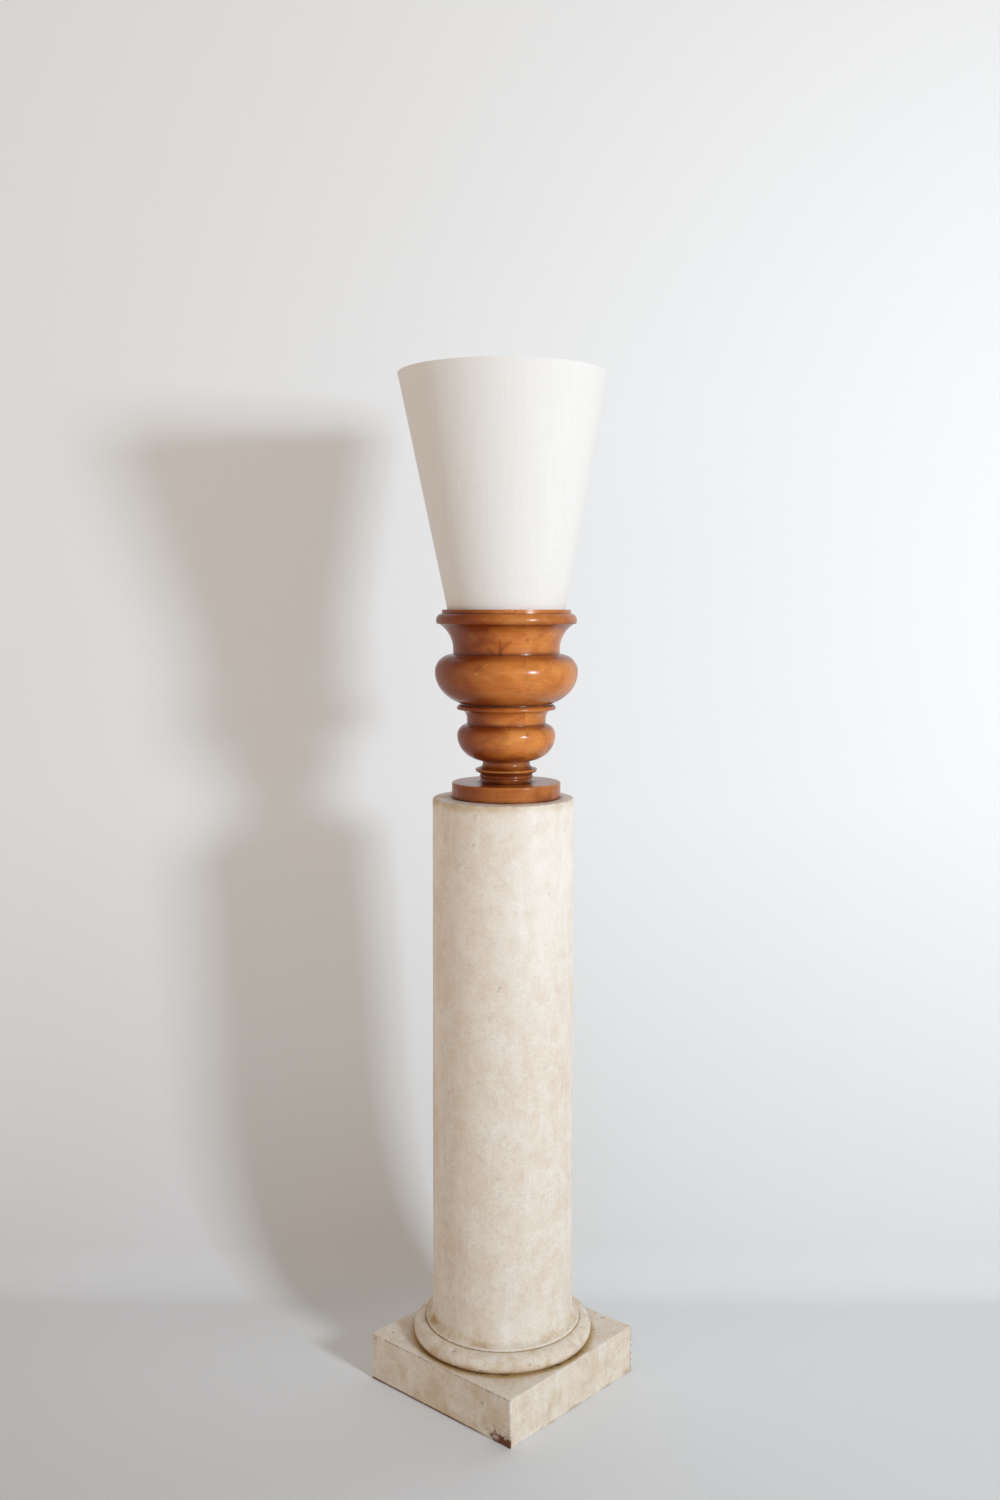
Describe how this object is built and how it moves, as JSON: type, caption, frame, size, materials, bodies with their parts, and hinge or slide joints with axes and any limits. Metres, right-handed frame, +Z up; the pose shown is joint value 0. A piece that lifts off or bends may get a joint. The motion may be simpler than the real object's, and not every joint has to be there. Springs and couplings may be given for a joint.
{
  "type": "column floor lamp",
  "caption": "Floor lamp on a plain Doric column: square plinth, torus and tapering shaft, a turned wooden vase on top, and a tall linen shade that widens upwards.",
  "frame": {"origin": "middle of the plinth's underside, on the floor", "axes": "+Z up along the column, X and Y along the plinth's sides"},
  "size_m": [0.366, 0.366, 1.8325],
  "materials": {
    "faux_stone": "aged cream plaster, rubbed and stained like limestone, with a dull wax sheen",
    "turned_wood": "honey-brown turned fruitwood, polished",
    "linen": "off-white slubby linen on a lined shade"
  },
  "bodies": {
    "root": {"plinth": "faux_stone", "torus": "faux_stone", "shaft": "faux_stone", "vase": "turned_wood", "shade": "linen"}
  },
  "joints": []
}
